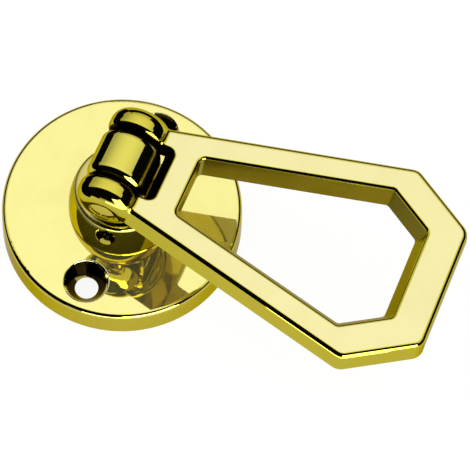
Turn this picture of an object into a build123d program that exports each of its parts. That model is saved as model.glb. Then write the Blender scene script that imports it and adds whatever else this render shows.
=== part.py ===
from build123d import *
import os
from math import asin, cos, radians, sin, sqrt, tan

# Drop pull for a cabinet or drawer: a round rose with two screw holes, a post screwed to it from behind,
# and an elongated six-sided drop hinged on the post by one pin. All of it is polished brass.
# The origin is the centre of the rose's back. +Z leaves its front, the hinge pin and the two screw
# holes lie along X, and the drop hangs along -Y. Millimetres.

# Rose: a round plate, hollow at the back round a hub, with a slightly drafted wall. The hub stands
# a little back, so that the plate seats on its rim.
rose_radius = 19.0
rose_height = 5.4
rose_wall_draft = 0.24
rose_edge_round = 0.8
rose_plate = 3.2
rose_wall = 2.2
hub_wall = 1.9
hub_set_back = 0.3
recess_round = 0.6

# Two countersunk holes for No. 6 wood screws.
screw_pitch = 28.0
screw_hole_radius = 1.85
countersink_radius = 3.5
countersink_angle = 60.0
countersink_lip_round = 0.25

# Post: a turned boss whose wall curves in towards its top, and a tongue that ends in the middle
# knuckle of the hinge.
boss_radius = 8.5
boss_height = 7.3
boss_top_set_in = 1.2
boss_top_round = 0.8
boss_foot_round = 0.4
tongue_root_round = 1.0

# Hinge: the middle knuckle on the post, the two ears of the drop beside it, and the pin.
knuckle_radius = 4.85
knuckle_length = 7.9
knuckle_edge_round = 1.4
hinge_height = 15.8
hinge_forward = 0.4
pin_radius = 2.0
pin_dome = 0.5
pin_running_clearance = 0.05
ear_side_clearance = 0.25
ear_set_in = 0.1
ear_outer_round = 2.3
ear_inner_round = 1.2
ear_root_round = 0.75
ear_bore_round = 0.2

# Drop: lengths along it are measured from the hinge axis, and half widths from its centre line,
# both on the front face. The walls splay towards the back, the outer ones outwards and those of
# the opening inwards.
drop_thickness = 3.3
drop_face_above_axis = 2.05
opening_start_half = 5.1
opening_wide_at = 39.35
opening_wide_half = 11.95
opening_end = 46.5
opening_end_half = 7.45
long_band = 3.75
shoulder_band = 4.85
tip_band = 5.6
crossbar = 3.8
inner_splay = 1.45
small_end_splay = 0.1
outer_splay = 0.87
tip_splay = 0.15
neck_splay = 0.6
neck_inset = 1.0
neck_blend_radius = 8.0
drop_corner_round = 2.2
opening_corner_round = 0.9
outer_edge_round = 0.95
inner_edge_round = 0.7

# Notch between the ears: its sides stand a little outside the ears' inner faces, its floor leans
# back, and the floor's back edge is the stop.
notch_stop_gap = 0.1
notch_lean = 1.85
notch_side_relief = 0.15
notch_corner_round = 0.9
notch_rim_round = 0.6

# Machine screw that holds the post, put in from behind.
post_screw_radius = 2.5
post_screw_clearance = 0.05
post_screw_head_radius = 4.6
post_screw_head_angle = 90.0
post_screw_reach = 8.0
post_screw_tip_room = 1.5
post_screw_tip_chamfer = 0.6
post_screw_slot_width = 1.2
post_screw_slot_depth = 1.1

# Levels and places worked out from the sizes above.
hinge_z = rose_height + hinge_height
boss_top = rose_height + boss_height
boss_top_radius = boss_radius - boss_top_set_in
drop_front_z = hinge_z + drop_face_above_axis
drop_back_z = drop_front_z - drop_thickness
knuckle_half = knuckle_length / 2
ear_inner_x = knuckle_half + ear_side_clearance
ear_outer_x = boss_radius - ear_set_in
neck_half = ear_outer_x - neck_inset
notch_half = ear_inner_x + notch_side_relief
notch_back = knuckle_radius + notch_stop_gap
notch_front = notch_back + notch_lean
opening_start = notch_front + crossbar
hub_radius = post_screw_head_radius + hub_wall
post_screw_hole = post_screw_radius + post_screw_clearance

# How close two places lie that count as one when edges are picked, and how far a cut runs past a face.
near = 0.01
past = 1.0


def along_x(radius, start, end):
    """A round bar along the hinge axis, from x = start to x = end."""
    plane = Plane(origin=(start, -hinge_forward, hinge_z), x_dir=(0, 1, 0), z_dir=(1, 0, 0))
    return extrude(plane * Circle(radius), end - start)


def edges_at_x(shape, x):
    """The edges of a shape that lie wholly in the plane at x."""
    boxes = [(e, e.bounding_box()) for e in shape.edges()]
    return [e for e, box in boxes if abs(box.min.X - x) < near and abs(box.max.X - x) < near]


def circles_at_z(shape, z, radius):
    """The round edges of one radius that lie in the plane at z."""
    circles = shape.edges().filter_by(GeomType.CIRCLE)
    return [e for e in circles if abs(e.radius - radius) < near and abs(e.arc_center.Z - z) < near]


def reach(thing):
    """How far down the drop the middle of an edge or a face lies from the hinge axis."""
    return -hinge_forward - thing.center().Y


def make_rose():
    """The round plate: a turned profile, hollow behind, with two countersunk holes."""
    back_radius = rose_radius + rose_wall_draft
    recess_top = rose_height - rose_plate
    recess_radius = back_radius - rose_wall
    outline = Polyline(
        (0, hub_set_back), (hub_radius, hub_set_back), (hub_radius, recess_top),
        (recess_radius, recess_top), (recess_radius, 0), (back_radius, 0),
        (rose_radius, rose_height), (0, rose_height), close=True)
    rose = revolve(make_face(Plane.XZ * outline), Axis.Z)
    rose = fillet(circles_at_z(rose, rose_height, rose_radius), rose_edge_round)
    recess_corners = circles_at_z(rose, recess_top, hub_radius) + circles_at_z(rose, recess_top, recess_radius)
    rose = fillet(recess_corners, recess_round)
    cone_depth = (countersink_radius - screw_hole_radius) / tan(radians(countersink_angle / 2))
    for side in (-1, 1):
        place = Location((side * screw_pitch / 2, 0, rose_height))
        rose -= place * extrude(Circle(screw_hole_radius), -rose_height)
        rose -= place * Cone(
            screw_hole_radius, countersink_radius, cone_depth, align=(Align.CENTER, Align.CENTER, Align.MAX))
    rose = fillet(circles_at_z(rose, rose_height, countersink_radius), countersink_lip_round)
    rose -= extrude(Circle(post_screw_hole), rose_height)
    rose -= screw_head(post_screw_hole)
    return rose


def screw_head(shank_radius):
    """The cone of the post screw's head, or of its seat, flush with the end of the hub."""
    depth = (post_screw_head_radius - shank_radius) / tan(radians(post_screw_head_angle / 2))
    return Pos(0, 0, hub_set_back) * Cone(
        post_screw_head_radius, shank_radius, depth, align=(Align.CENTER, Align.CENTER, Align.MIN))


def make_post_screw():
    """The slotted countersunk screw that draws the post down on the rose."""
    length = rose_height + post_screw_reach - hub_set_back
    shank = extrude(Circle(post_screw_radius), length)
    shank = chamfer(circles_at_z(shank, length, post_screw_radius), post_screw_tip_chamfer)
    screw = screw_head(post_screw_radius) + Pos(0, 0, hub_set_back) * shank
    slot = extrude(Rectangle(2 * post_screw_head_radius + past, post_screw_slot_width), post_screw_slot_depth)
    return screw - Pos(0, 0, hub_set_back) * slot


def make_post():
    """The boss, with its curved wall, and the tongue that carries the middle knuckle."""
    wall = TangentArc((boss_radius, rose_height), (boss_top_radius, boss_top), tangent=(0, 1))
    outline = wall + Polyline(
        (boss_top_radius, boss_top), (0, boss_top), (0, rose_height), (boss_radius, rose_height))
    boss = revolve(make_face(Plane.XZ * outline), Axis.Z)
    boss = fillet(circles_at_z(boss, boss_top, boss_top_radius), boss_top_round)
    boss = fillet(circles_at_z(boss, rose_height, boss_radius), boss_foot_round)
    tongue_foot = rose_height + boss_height / 2
    tongue = Pos(0, -hinge_forward, tongue_foot) * extrude(
        Rectangle(knuckle_length, 2 * knuckle_radius), hinge_z - tongue_foot)
    tongue += along_x(knuckle_radius, -knuckle_half, knuckle_half)
    rims = edges_at_x(tongue, -knuckle_half) + edges_at_x(tongue, knuckle_half)
    tongue = fillet([e for e in rims if e.center().Z > tongue_foot + near], knuckle_edge_round)
    post = boss + tongue
    roots = [e for e in post.edges().filter_by(GeomType.LINE)
             if abs(e.center().Z - boss_top) < near and e.bounding_box().size.Z < near]
    post = fillet(roots, tongue_root_round)
    post -= along_x(pin_radius + pin_running_clearance, -knuckle_length, knuckle_length)
    bore_depth = post_screw_reach + post_screw_tip_room
    return post - Pos(0, 0, rose_height) * extrude(Circle(post_screw_hole), bore_depth)


def shifted_line(start, end, shift):
    """The line through two outline points, moved outwards by shift. Returns a point and a direction."""
    length = sqrt((end[0] - start[0]) ** 2 + (end[1] - start[1]) ** 2)
    direction = ((end[0] - start[0]) / length, (end[1] - start[1]) / length)
    outward = (direction[1], -direction[0])
    return (start[0] + outward[0] * shift, start[1] + outward[1] * shift), direction


def crossing(first, second):
    """Where two lines meet, each given as a point and a direction."""
    (ax, ay), (dx, dy) = first
    (bx, by), (ex, ey) = second
    along = ((bx - ax) * ey - (by - ay) * ex) / (dx * ey - dy * ex)
    return ax + dx * along, ay + dy * along


def across(at):
    """The line square to the drop at a distance from the hinge axis."""
    return (0, at), (1, 0)


def frame_lines(long_shift, shoulder_shift):
    """The opening's long side and its shoulder on the +X side, moved outwards."""
    wide = (opening_wide_half, opening_wide_at)
    long_side = shifted_line((opening_start_half, opening_start), wide, long_shift)
    return long_side, shifted_line(wide, (opening_end_half, opening_end), shoulder_shift)


def outer_half(splay):
    """The drop's outer outline on its +X side: a straight neck, then the three sides of the frame."""
    long_side, shoulder = frame_lines(long_band + splay, shoulder_band + splay)
    side = neck_half + splay * neck_splay / outer_splay
    flare = crossing(((side, 0), (0, 1)), long_side)
    tip = crossing(shoulder, across(opening_end + tip_band + splay * tip_splay / outer_splay))
    return [(side, 0), flare, crossing(long_side, shoulder), tip]


def inner_half(splay):
    """The opening's outline on its +X side, drawn in by the splay."""
    long_side, shoulder = frame_lines(-splay, -splay)
    start = crossing(long_side, across(opening_start + splay * small_end_splay / inner_splay))
    return [start, crossing(long_side, shoulder), crossing(shoulder, across(opening_end - splay))]


def outline_at(half, z):
    """The corners of an outline at height z, from its +X half, given as half width and distance."""
    corners = [(x, -hinge_forward - along, z) for x, along in half]
    return corners + [(-x, y, z) for x, y, z in reversed(corners)]


def splayed_block(back_half, front_half):
    """A flat-sided block between two outlines with parallel sides, one at each face of the drop."""
    back = outline_at(back_half, drop_back_z)
    front = outline_at(front_half, drop_front_z)
    faces = [make_face(Polyline(*back, close=True)), make_face(Polyline(*front, close=True))]
    for here in range(len(back)):
        after = (here + 1) % len(back)
        faces.append(make_face(Polyline(back[here], back[after], front[after], front[here], close=True)))
    return Solid(Shell(faces))


def side_edges(block):
    """The edges that run from the back face to the front one, from the hinge downwards."""
    edges = [e for e in block.edges() if abs(e.bounding_box().size.Z - drop_thickness) < near]
    return sorted(edges, key=reach)


def front_face(body):
    """The flat front face of the drop."""
    return [f for f in body.faces().filter_by(Axis.Z) if abs(f.center().Z - drop_front_z) < near][0]


def make_drop():
    """The six-sided frame with its splayed walls, its two ears, and the notch between them."""
    body = splayed_block(outer_half(outer_splay), outer_half(0))
    body = fillet(side_edges(body)[4:], drop_corner_round)
    body = fillet(side_edges(body)[2:4], neck_blend_radius)
    hole = splayed_block(inner_half(inner_splay), inner_half(0))
    body -= fillet(side_edges(hole), opening_corner_round)
    body = fillet(front_face(body).inner_wires()[0].edges(), inner_edge_round)
    outer = [e for e in front_face(body).outer_wire().edges() if reach(e) > near]
    body = fillet(outer, outer_edge_round)
    body -= make_notch()
    body = fillet(notch_rim(body), notch_rim_round)
    for side in (-1, 1):
        start, end = sorted((side * ear_inner_x, side * ear_outer_x))
        ear = along_x(knuckle_radius, start, end)
        ear = fillet(edges_at_x(ear, side * ear_outer_x), ear_outer_round)
        body += fillet(edges_at_x(ear, side * ear_inner_x), ear_inner_round)
    body = fillet(ear_roots(body), ear_root_round)
    body -= along_x(pin_radius, -ear_outer_x - past, ear_outer_x + past)
    ends = edges_at_x(body, -ear_outer_x) + edges_at_x(body, ear_outer_x)
    return fillet([e for e in ends if abs(e.radius - pin_radius) < near], ear_bore_round)


def notch_rim(body):
    """The edges of the notch on the front face."""
    boxes = [(e, e.bounding_box()) for e in front_face(body).outer_wire().edges()]
    return [e for e, box in boxes if max(box.max.X, -box.min.X) < notch_half + near]


def ear_roots(body):
    """The creases where the ears rise out of the front face."""
    crease = sqrt(knuckle_radius ** 2 - drop_face_above_axis ** 2)
    lines = body.edges().filter_by(GeomType.LINE).filter_by(Axis.X)
    return [e for e in lines if abs(reach(e) - crease) < near and abs(e.center().Z - drop_front_z) < near]


def make_notch():
    """The gap between the ears. Its floor leans, so that its back edge stops on the post's flank."""
    slope = notch_lean / drop_thickness
    low = hinge_z - knuckle_radius - past
    high = hinge_z + knuckle_radius + past
    behind = knuckle_radius + past
    outline = Polyline(
        (behind, low), (-notch_back, low), (-notch_back, drop_back_z),
        (-notch_front - slope * (high - drop_front_z), high), (behind, high), close=True)
    side = Plane(origin=(-notch_half, -hinge_forward, 0), x_dir=(0, 1, 0), z_dir=(1, 0, 0))
    notch = extrude(side * make_face(outline), 2 * notch_half)
    corners = [e for e in notch.edges() if e.bounding_box().min.Z > drop_back_z - near
               and e.bounding_box().size.Z > near and reach(e) > notch_back + near]
    return fillet(corners, notch_corner_round)


def make_hinge_pin():
    """The pin, pressed into the ears, with a low dome at each end."""
    dome_sphere = (pin_radius ** 2 + pin_dome ** 2) / (2 * pin_dome)
    tip = ear_outer_x + pin_dome
    half_angle = asin(pin_radius / dome_sphere) / 2
    shoulder = (tip - dome_sphere + dome_sphere * cos(half_angle), dome_sphere * sin(half_angle))
    outline = Polyline((-ear_outer_x, pin_radius), (ear_outer_x, pin_radius))
    outline += ThreePointArc((ear_outer_x, pin_radius), shoulder, (tip, 0))
    outline += Line((tip, 0), (-tip, 0))
    outline += ThreePointArc((-tip, 0), (-shoulder[0], shoulder[1]), (-ear_outer_x, pin_radius))
    plane = Plane(origin=(0, -hinge_forward, hinge_z), x_dir=(1, 0, 0), z_dir=(0, -1, 0))
    return revolve(plane * make_face(outline), Axis((0, -hinge_forward, hinge_z), (1, 0, 0)))


nodes = {
    "rose": make_rose(),
    "post": make_post(),
    "post_screw": make_post_screw(),
    "drop": make_drop(),
    "hinge_pin": make_hinge_pin(),
}

os.makedirs("parts", exist_ok=True)
for name, solid in nodes.items():
    export_step(solid, f"parts/{name}.step")
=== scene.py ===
import math
import bpy
from mathutils import Matrix, Vector

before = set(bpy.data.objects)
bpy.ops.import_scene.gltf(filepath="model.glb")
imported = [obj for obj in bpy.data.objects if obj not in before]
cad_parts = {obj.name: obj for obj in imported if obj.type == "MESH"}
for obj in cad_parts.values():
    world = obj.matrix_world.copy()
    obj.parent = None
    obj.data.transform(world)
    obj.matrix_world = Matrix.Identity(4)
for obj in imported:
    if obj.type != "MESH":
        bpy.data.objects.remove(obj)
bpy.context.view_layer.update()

# Camera: the photograph's view, from high above the drop's left side, about 23 degrees off square
# to its face. The three directions and the place come from a perspective fit of the photograph.
photo_pixels = 470
focal_pixels = 2083.2
camera_place = Vector((-0.1195, -0.0546, 0.3091))
view_right = Vector((0.3824, -0.9230, 0.0434))
view_up = Vector((0.8465, 0.3687, 0.3840))
view_back = view_right.cross(view_up).normalized()
view_up = view_back.cross(view_right).normalized()
turn = Matrix((view_right.normalized(), view_up, view_back)).transposed()
camera_data = bpy.data.cameras.new("photo_camera")
camera_data.sensor_width = 36.0
camera_data.lens = camera_data.sensor_width * focal_pixels / photo_pixels
camera_data.clip_start = 0.01
camera = bpy.data.objects.new("photo_camera", camera_data)
camera.matrix_world = Matrix.Translation(camera_place) @ turn.to_4x4()
bpy.context.scene.collection.objects.link(camera)
bpy.context.scene.camera = camera
bpy.context.scene.view_settings.view_transform = "Standard"


# Surround: white to the eye, and for the light and the mirrors a soft box overhead that fades to
# about half of its strength towards the horizon.
def wire(owner, kind, values=(), sources=(), **settings):
    """Add a shader node: its settings, the constants of its sockets and what is wired into them."""
    added = owner.node_tree.nodes.new("ShaderNode" + kind)
    for key, value in settings.items():
        setattr(added, key, value)
    for socket, value in values:
        added.inputs[socket].default_value = value
    for socket, (giver, output) in sources:
        owner.node_tree.links.new(giver.outputs[output], added.inputs[socket])
    return added


def combine(owner, operation, first, second):
    """Two values put together by one sum. Each is a node and an output."""
    return wire(owner, "Math", [], [(0, first), (1, second)], operation=operation)


horizon_height, horizon_level = 0.4, 0.5
overhead_height, overhead_level = 0.94, 1.08
surround = bpy.data.worlds.new("white_surround")
bpy.context.scene.world = surround
surround.use_nodes = True
sky = surround.node_tree.nodes["Background"]
sky.inputs["Color"].default_value = (1, 1, 1, 1)
sky_place = wire(surround, "TexCoord")
sky_split = wire(surround, "SeparateXYZ", [], [(0, (sky_place, "Generated"))])
sky_fade = wire(surround, "MapRange",
                [("From Min", horizon_height), ("From Max", overhead_height),
                 ("To Min", horizon_level), ("To Max", overhead_level)],
                [("Value", (sky_split, "Z"))])
sky_rays = wire(surround, "LightPath")
sky_level = combine(surround, "MAXIMUM", (sky_fade, 0), (sky_rays, "Is Camera Ray"))
surround.node_tree.links.new(sky_level.outputs[0], sky.inputs["Strength"])

# Floor: plain white paper. Part of its white is a glow that the eye and the mirrors see, and the
# rest comes from the light, so the soft shadow of the pull stays on it.
floor_radius = 0.26
floor_centre = (0, -0.06, -0.00005)
paper_grey = (0.2, 0.2, 0.2, 1)
glow_to_eye, glow_to_mirrors = 0.87, 0.58
bpy.ops.object.select_all(action="DESELECT")
bpy.ops.mesh.primitive_circle_add(vertices=96, radius=floor_radius, fill_type="NGON",
                                  location=floor_centre)
floor = bpy.context.object
floor.name = "floor"
paper = bpy.data.materials.new("floor_white")
paper.use_nodes = True
paper.node_tree.nodes.clear()
paper_matt = wire(paper, "BsdfDiffuse", [("Color", paper_grey)])
paper_rays = wire(paper, "LightPath")
paper_mirrored = combine(paper, "MAXIMUM", (paper_rays, "Is Glossy Ray"),
                         (paper_rays, "Is Transmission Ray"))
paper_in_mirrors = wire(paper, "Math", [(1, glow_to_mirrors)], [(0, (paper_mirrored, 0))],
                        operation="MULTIPLY")
paper_to_eye = wire(paper, "Math", [(1, glow_to_eye)], [(0, (paper_rays, "Is Camera Ray"))],
                    operation="MULTIPLY")
paper_level = combine(paper, "ADD", (paper_in_mirrors, 0), (paper_to_eye, 0))
paper_glow = wire(paper, "Emission", [], [("Strength", (paper_level, 0))])
paper_sum = wire(paper, "AddShader", [], [(0, (paper_matt, 0)), (1, (paper_glow, 0))])
wire(paper, "OutputMaterial", [], [("Surface", (paper_sum, 0))])
floor.data.materials.append(paper)

# Cards: black ones low all round and over the camera's side of the pull, and lit white ones low in
# front. Only the polished brass sees them, as the dark and bright lines along its rounded edges.
hinge_height = 0.022
black_paper = bpy.data.materials.new("black_card")
black_paper.use_nodes = True
black_face = black_paper.node_tree.nodes["Principled BSDF"]
black_face.inputs["Base Color"].default_value = (0.004, 0.004, 0.006, 1)
black_face.inputs["Roughness"].default_value = 1.0
black_face.inputs["Specular IOR Level"].default_value = 0.0
white_paper = bpy.data.materials.new("white_card")
white_paper.use_nodes = True
white_face = white_paper.node_tree.nodes["Principled BSDF"]
white_face.inputs["Emission Color"].default_value = (1, 1, 1, 1)
white_face.inputs["Emission Strength"].default_value = 4.0


def stand_as_card(card, paper_used):
    """Make a card of an object: only mirrors see it."""
    card.data.materials.append(paper_used)
    card.visible_camera = False
    card.visible_diffuse = False
    card.visible_shadow = False


def curved_card(name, paper_used, distance, elevations, azimuths):
    """A card that bends round the pull at a distance, as high and as wide as the two pairs of
    angles say, in degrees and seen from the hinge."""
    steps = 64
    first, last = azimuths
    corners, faces = [], []
    for step in range(steps + 1):
        azimuth = math.radians(first + (last - first) * step / steps)
        for elevation in elevations:
            height = hinge_height + distance * math.tan(math.radians(elevation))
            corners.append((distance * math.cos(azimuth), distance * math.sin(azimuth), height))
    for step in range(steps):
        faces.append((2 * step, 2 * step + 2, 2 * step + 3, 2 * step + 1))
    mesh = bpy.data.meshes.new(name)
    mesh.from_pydata(corners, [], faces)
    card = bpy.data.objects.new(name, mesh)
    bpy.context.scene.collection.objects.link(card)
    stand_as_card(card, paper_used)


curved_card("card_ring", black_paper, 0.9, (-20.0, 13.0), (-120.0, 165.0))
curved_card("card_at_tip", black_paper, 0.9, (10.0, 38.0), (-120.0, -20.0))
curved_card("card_above", black_paper, 0.9, (10.0, 22.0), (-20.0, 45.0))
curved_card("card_fence", black_paper, 0.05, (-21.0, 4.0), (35.0, 150.0))
curved_card("card_lit", white_paper, 0.8, (-4.0, 34.0), (203.0, 240.0))
curved_card("card_lit_low", white_paper, 0.09, (-13.3, -1.0), (178.0, 240.0))

dome_radius = 0.95
dome_side = -0.18
dome_foot = 0.15
bpy.ops.object.select_all(action="DESELECT")
bpy.ops.mesh.primitive_uv_sphere_add(segments=96, ring_count=48, radius=dome_radius,
                                     location=(0, 0, hinge_height))
half_dome = bpy.context.object
half_dome.name = "card_half_dome"
bpy.ops.object.mode_set(mode="EDIT")
bpy.ops.mesh.select_all(action="SELECT")
bpy.ops.mesh.bisect(plane_co=(dome_side, 0, hinge_height), plane_no=(1, 0, 0), clear_outer=True)
bpy.ops.mesh.select_all(action="SELECT")
bpy.ops.mesh.bisect(plane_co=(0, 0, dome_foot), plane_no=(0, 0, 1), clear_inner=True)
bpy.ops.object.mode_set(mode="OBJECT")
stand_as_card(half_dome, black_paper)


# Rose: a cast brass plate, turned and then buffed on its front. Its flat is painted pale as lit, its
# wall a deeper painted shade, and the two countersinks are painted dark as shade, with painted
# highlights.
def step_up(material, giver, output, start, end):
    """A soft step from 0 at start to 1 at end. With start above end it steps down."""
    return wire(material, "MapRange", [("From Min", start), ("From Max", end)],
                [("Value", (giver, output))], interpolation_type="SMOOTHSTEP")


def within(material, *steps):
    """Where all of the soft steps are up. Each is a node, an output, a start and an end."""
    inside = step_up(material, *steps[0])
    for step in steps[1:]:
        inside = combine(material, "MULTIPLY", (inside, 0), (step_up(material, *step), 0))
    return inside


def either_way(material, giver, output):
    """A value without its sign, for what is the same to the left and to the right."""
    return wire(material, "Math", [], [(0, (giver, output))], operation="ABSOLUTE")


def blend(material, factor, first, second):
    """Mix two colours. Each is a constant colour, or the blend that gives it."""
    mixer = wire(material, "Mix", [], [("Factor", (factor, 0))], data_type="RGBA")
    for socket, colour in (("A", first), ("B", second)):
        if isinstance(colour, tuple):
            mixer.inputs[socket].default_value = (*colour, 1)
        else:
            material.node_tree.links.new(colour.outputs["Result"], mixer.inputs[socket])
    return mixer


def start_brass(name):
    """A new brass material, with the place on the piece and the way that it faces there."""
    material = bpy.data.materials.new(name)
    material.use_nodes = True
    shader = material.node_tree.nodes["Principled BSDF"]
    shader.inputs["Metallic"].default_value = 1.0
    shader.inputs["Specular Tint"].default_value = (0.62, 0.52, 0.2, 1)
    coordinates = wire(material, "TexCoord", name="coordinates")
    place = wire(material, "SeparateXYZ", [], [(0, (coordinates, "Object"))])
    facing = wire(material, "SeparateXYZ", [], [(0, (coordinates, "Normal"))])
    return material, place, facing


def finish_brass(material, node, tone, grain, smooth, rough, dull=None, lacquer=None, held=0.0):
    """Age the tone a little, give it uneven polish and fine buffing lines, and put the brass on a
    CAD node. Grain is the three scales of the lines, smooth and rough bound the polish, dull is a
    mask where the surface stays satin, and lacquer is a mask where the clear lacquer holds some of
    the light, the share held."""
    shader = material.node_tree.nodes["Principled BSDF"]
    coordinates = material.node_tree.nodes["coordinates"]
    old_tone = (0.42, 0.29, 0.05, 1)
    cloud = wire(material, "TexNoise", [("Scale", 170.0), ("Detail", 5.0), ("Roughness", 0.6)],
                 [("Vector", (coordinates, "Object"))])
    aged = wire(material, "MapRange", [("From Min", 0.45), ("From Max", 0.8), ("To Max", 0.09)],
                [("Value", (cloud, 0))])
    toned = wire(material, "Mix", [("B", old_tone)],
                 [("Factor", (aged, 0)), ("A", (tone, "Result"))], data_type="RGBA")
    stretched = wire(material, "Mapping", [("Scale", grain)],
                     [("Vector", (coordinates, "Object"))])
    lines = wire(material, "TexNoise", [("Scale", 1.0), ("Detail", 3.0)],
                 [("Vector", (stretched, 0))])
    polish = wire(material, "MapRange", [("From Min", 0.3), ("From Max", 0.7),
                                         ("To Min", smooth), ("To Max", rough)],
                  [("Value", (lines, 0))])
    if dull is not None:
        satin = wire(material, "MapRange", [("To Max", 0.26)], [("Value", (dull, 0))])
        polish = combine(material, "ADD", (polish, 0), (satin, 0))
    if lacquer is not None:
        bare = wire(material, "MapRange", [("To Min", 1.0), ("To Max", 1.0 - held)],
                    [("Value", (lacquer, 0))])
        material.node_tree.links.new(bare.outputs[0], shader.inputs["Metallic"])
    relief = wire(material, "Bump", [("Strength", 0.05), ("Distance", 0.00002)],
                  [("Height", (lines, 0))])
    for socket, giver, output in (("Base Color", toned, "Result"), ("Roughness", polish, 0),
                                  ("Normal", relief, 0)):
        material.node_tree.links.new(giver.outputs[output], shader.inputs[socket])
    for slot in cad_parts[node].material_slots:
        slot.material = material


# Painted light and shade: flats that face up get a pale tone painted as lit, the wall a deeper
# painted shade.
rose_wall_painted_shade = (0.76, 0.66, 0.14)
flat_painted_lit_tone = (0.965, 0.9, 0.33)
screw_lip_painted_highlight = (0.965, 0.92, 0.5)
hole_painted_shade, hole_lit_tone = (0.012, 0.01, 0.004), (0.7, 0.65, 0.4)

# A pair of numbers is where a soft mask begins and where it is full, in metres for a place, and from
# 0 to 1 for how squarely the surface faces along an axis.
facing_up = (0.97, 0.995)
facing_light = (-0.1, -0.3)
screw_off_centre = 0.014
screw_lip_edge = (0.0037, 0.0036)
screw_hole_edge = (0.00325, 0.00315)
rose_brass, rose_place, rose_facing = start_brass("rose_brass")
rose_flat = step_up(rose_brass, rose_facing, "Z", *facing_up)
rose_tone = blend(rose_brass, rose_flat, rose_wall_painted_shade, flat_painted_lit_tone)
rose_across = either_way(rose_brass, rose_place, "X")
screw_aside = wire(rose_brass, "Math", [(1, screw_off_centre)], [(0, (rose_across, 0))],
                   operation="SUBTRACT")
screw_round = wire(rose_brass, "CombineXYZ", [],
                   [("X", (screw_aside, 0)), ("Y", (rose_place, "Y"))])
screw_reach = wire(rose_brass, "VectorMath", [], [(0, (screw_round, 0))], operation="LENGTH")
# Painted highlight: a pale ring on the lip of each countersink.
screw_lip = step_up(rose_brass, screw_reach, "Value", *screw_lip_edge)
rose_tone = blend(rose_brass, screw_lip, rose_tone, screw_lip_painted_highlight)
# Painted shade: each countersink cone is near black, with a painted highlight on its side facing
# minus X and minus Y.
in_screw_hole = step_up(rose_brass, screw_reach, "Value", *screw_hole_edge)
lit_side_of_hole = within(rose_brass, (rose_facing, "X", *facing_light),
                          (rose_facing, "Y", *facing_light))
hole_tone = blend(rose_brass, lit_side_of_hole, hole_painted_shade, hole_lit_tone)
rose_tone = blend(rose_brass, in_screw_hole, rose_tone, hole_tone)
finish_brass(rose_brass, "rose", rose_tone, grain=(900.0, 900.0, 300.0), smooth=0.02,
             rough=0.045, lacquer=rose_flat, held=0.1)

# Post: one brass casting, a turned boss under the middle knuckle of the hinge. It is polished all
# round. Its boss top is painted pale as lit and its walls a deeper painted shade, the back of the
# boss top is satin in a painted shade, and the knuckle's ends, far round and resting flank are
# painted near black as shade.
post_wall_painted_shade = (0.74, 0.67, 0.11)
boss_satin_painted_shade = (0.68, 0.6, 0.16)
near_black_painted_shade = (0.03, 0.022, 0.006)
below_knuckle = (0.0136, 0.0130)
above_boss = (0.0134, 0.0140)
above_boss_wall = (0.0114, 0.0118)
behind_tongue = (-0.001, 0.002)
boss_facing_up = (0.93, 0.99)
facing_rest = (-0.86, -0.9)
facing_ear = (0.82, 0.93)
facing_far_side = (0.3, 0.5)
post_brass, post_place, post_facing = start_brass("post_brass")
# Painted light: the boss top that faces up gets the pale tone painted as lit.
boss_painted_lit_top = within(post_brass, (post_facing, "Z", *boss_facing_up),
                   (post_place, "Z", *below_knuckle))
post_tone = blend(post_brass, boss_painted_lit_top, post_wall_painted_shade, flat_painted_lit_tone)
# Satin and painted shade: the back of the boss top beside the knuckle is rougher and painted a
# deeper shade tone.
boss_satin_and_shade = within(post_brass, (post_place, "Z", *above_boss_wall),
                    (post_place, "Z", *below_knuckle), (post_place, "Y", *behind_tongue))
post_tone = blend(post_brass, boss_satin_and_shade, post_tone, boss_satin_painted_shade)
# Painted shade: near black on the resting flank, the knuckle's ends and its far round, above the
# boss.
rest_flank = step_up(post_brass, post_facing, "Y", *facing_rest)
post_sideways = either_way(post_brass, post_facing, "X")
knuckle_end = step_up(post_brass, post_sideways, 0, *facing_ear)
knuckle_far_round = step_up(post_brass, post_facing, "X", *facing_far_side)
on_tongue = step_up(post_brass, post_place, "Z", *above_boss)
knuckle_painted_shade = combine(post_brass, "MAXIMUM", (rest_flank, 0), (knuckle_end, 0))
knuckle_painted_shade = combine(post_brass, "MAXIMUM", (knuckle_painted_shade, 0), (knuckle_far_round, 0))
knuckle_painted_shade = combine(post_brass, "MULTIPLY", (knuckle_painted_shade, 0), (on_tongue, 0))
post_tone = blend(post_brass, knuckle_painted_shade, post_tone, near_black_painted_shade)
finish_brass(post_brass, "post", post_tone, grain=(260.0, 900.0, 900.0), smooth=0.02,
             rough=0.045, dull=boss_satin_and_shade)

# Post screw: the turned machine screw behind the rose. Nobody polishes it, so it stays satin, with
# the fine rings that the lathe leaves.
screw_shank_tone, screw_head_tone = (0.5, 0.4, 0.09), (0.62, 0.52, 0.16)
screw_facing_back = (-0.8, -0.98)
screw_brass, _, screw_facing = start_brass("screw_brass")
screw_end = step_up(screw_brass, screw_facing, "Z", *screw_facing_back)
screw_tone = blend(screw_brass, screw_end, screw_shank_tone, screw_head_tone)
finish_brass(screw_brass, "post_screw", screw_tone, grain=(120.0, 120.0, 6000.0), smooth=0.2,
             rough=0.36)

# Drop: one brass casting, the six-sided frame with its two ears. Its front is buffed and painted
# palest as lit, the outer walls and far rims a deeper painted shade, the walls of the opening satin
# in an olive painted shade, and the notch between the ears, the rounds by the knuckle and the back
# are painted in shade.
# Painted light and shade: the flat front is painted pale as lit, the other tones are painted shade.
drop_wall_painted_shade, drop_flat_painted_lit = (0.69, 0.6, 0.07), (0.97, 0.9, 0.43)
opening_painted_shade, opening_end_painted_shade = (0.12, 0.09, 0.004), (0.4, 0.34, 0.06)
far_wall_painted_shade = (0.52, 0.46, 0.1)
notch_painted_shade = (0.02, 0.015, 0.005)
back_painted_shade = (0.42, 0.36, 0.08)

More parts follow.
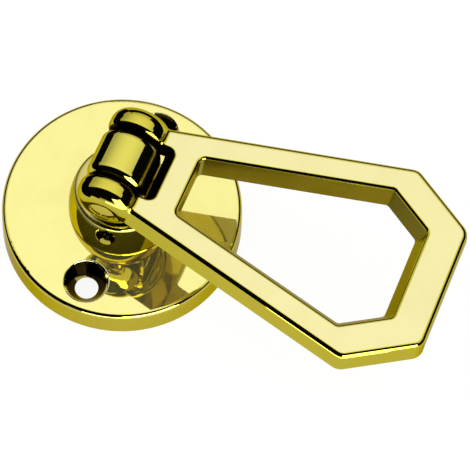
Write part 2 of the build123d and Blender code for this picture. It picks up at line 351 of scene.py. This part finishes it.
# The distance from the middle plus a slope times Y stays the same all along a long wall of the
# opening, and with the other slope all along a shoulder, so it tells on which side a point lies.
long_slope, shoulder_slope = 0.2383, -0.6294
long_rim, shoulder_rim = (0.0038, 0.0036), (0.0384, 0.0382)
long_wall, shoulder_wall = (0.00285, 0.0027), (0.0374, 0.0372)
tip_wall = (-0.0473, -0.0471)
start_wall = (-0.0106, -0.0108)
below_ear_tops = (0.0238, 0.0234)
between_ears = (0.0047, 0.0045)
notch_floor = (-0.0079, -0.0077)
near_side, round_of_ear = (0.0, -0.001), (-0.0062, -0.0056)
rim_facing_far, wall_facing_far = (0.15, 0.25), (0.2, 0.5)
rim_off_flat, notch_off_flat, wall_off_flat = (0.985, 0.96), (0.93, 0.8), (0.5, 0.45)
facing_lengthways = (0.3, 0.8)
drop_facing_back = (-0.85, -0.95)
drop_brass, drop_place, drop_facing = start_brass("drop_brass")
drop_flat = within(drop_brass, (drop_facing, "Z", *facing_up), (drop_place, "Z", *below_ear_tops))
drop_tone = blend(drop_brass, drop_flat, drop_wall_painted_shade, drop_flat_painted_lit)
drop_across = either_way(drop_brass, drop_place, "X")
long_side = wire(drop_brass, "Math", [(1, long_slope)],
                 [(0, (drop_place, "Y")), (2, (drop_across, 0))], operation="MULTIPLY_ADD")
shoulder_side = wire(drop_brass, "Math", [(1, shoulder_slope)],
                     [(0, (drop_place, "Y")), (2, (drop_across, 0))], operation="MULTIPLY_ADD")
# Painted shade: the rounded rims that face plus X get the deeper far wall tone.
far_rim = within(drop_brass, (drop_facing, "X", *rim_facing_far), (long_side, 0, *long_rim),
                 (shoulder_side, 0, *shoulder_rim), (drop_place, "Y", *tip_wall),
                 (drop_facing, "Z", *rim_off_flat))
drop_tone = blend(drop_brass, far_rim, drop_tone, far_wall_painted_shade)
# Painted shade in the opening: dark olive on its long walls, lighter on walls facing lengthways or
# plus X.
in_opening = within(drop_brass, (long_side, 0, *long_wall),
                    (shoulder_side, 0, *shoulder_wall), (drop_place, "Y", *tip_wall),
                    (drop_place, "Y", *start_wall), (drop_facing, "Z", *wall_off_flat))
drop_lengthways = either_way(drop_brass, drop_facing, "Y")
end_wall = step_up(drop_brass, drop_lengthways, 0, *facing_lengthways)
inside_painted_shade = blend(drop_brass, end_wall, opening_painted_shade, opening_end_painted_shade)
far_wall = step_up(drop_brass, drop_facing, "X", *wall_facing_far)
inside_painted_shade = blend(drop_brass, far_wall, inside_painted_shade, far_wall_painted_shade)
drop_tone = blend(drop_brass, in_opening, drop_tone, inside_painted_shade)
# Painted shade: the notch between the ears is painted nearly black.
in_notch = within(drop_brass, (drop_place, "Y", *notch_floor), (drop_across, 0, *between_ears),
                  (drop_facing, "Z", *notch_off_flat))
drop_tone = blend(drop_brass, in_notch, drop_tone, notch_painted_shade)
# Painted shade: the ear rounds facing plus X on the near side are painted near black.
ear_painted_shade = within(drop_brass, (drop_facing, "X", *facing_far_side),
                    (drop_place, "X", *near_side), (drop_place, "Y", *round_of_ear))
drop_tone = blend(drop_brass, ear_painted_shade, drop_tone, near_black_painted_shade)
# Painted shade: the back of the drop, facing away from the front, is painted a deeper tone.
drop_back = step_up(drop_brass, drop_facing, "Z", *drop_facing_back)
drop_tone = blend(drop_brass, drop_back, drop_tone, back_painted_shade)
finish_brass(drop_brass, "drop", drop_tone, grain=(900.0, 200.0, 900.0), smooth=0.02,
             rough=0.045, dull=in_opening, lacquer=drop_flat, held=0.4)

# Hinge pin: hard drawn brass, turned to a low dome at its ends and pressed into the ears.
pin_side_tone, pin_end_tone = (0.5, 0.41, 0.06), (0.7, 0.6, 0.1)
facing_pin_end = (0.6, 0.8)
pin_brass, _, pin_facing = start_brass("pin_brass")
pin_sideways = either_way(pin_brass, pin_facing, "X")
pin_end = step_up(pin_brass, pin_sideways, 0, *facing_pin_end)
pin_tone = blend(pin_brass, pin_end, pin_side_tone, pin_end_tone)
finish_brass(pin_brass, "hinge_pin", pin_tone, grain=(5000.0, 200.0, 200.0), smooth=0.03,
             rough=0.08)
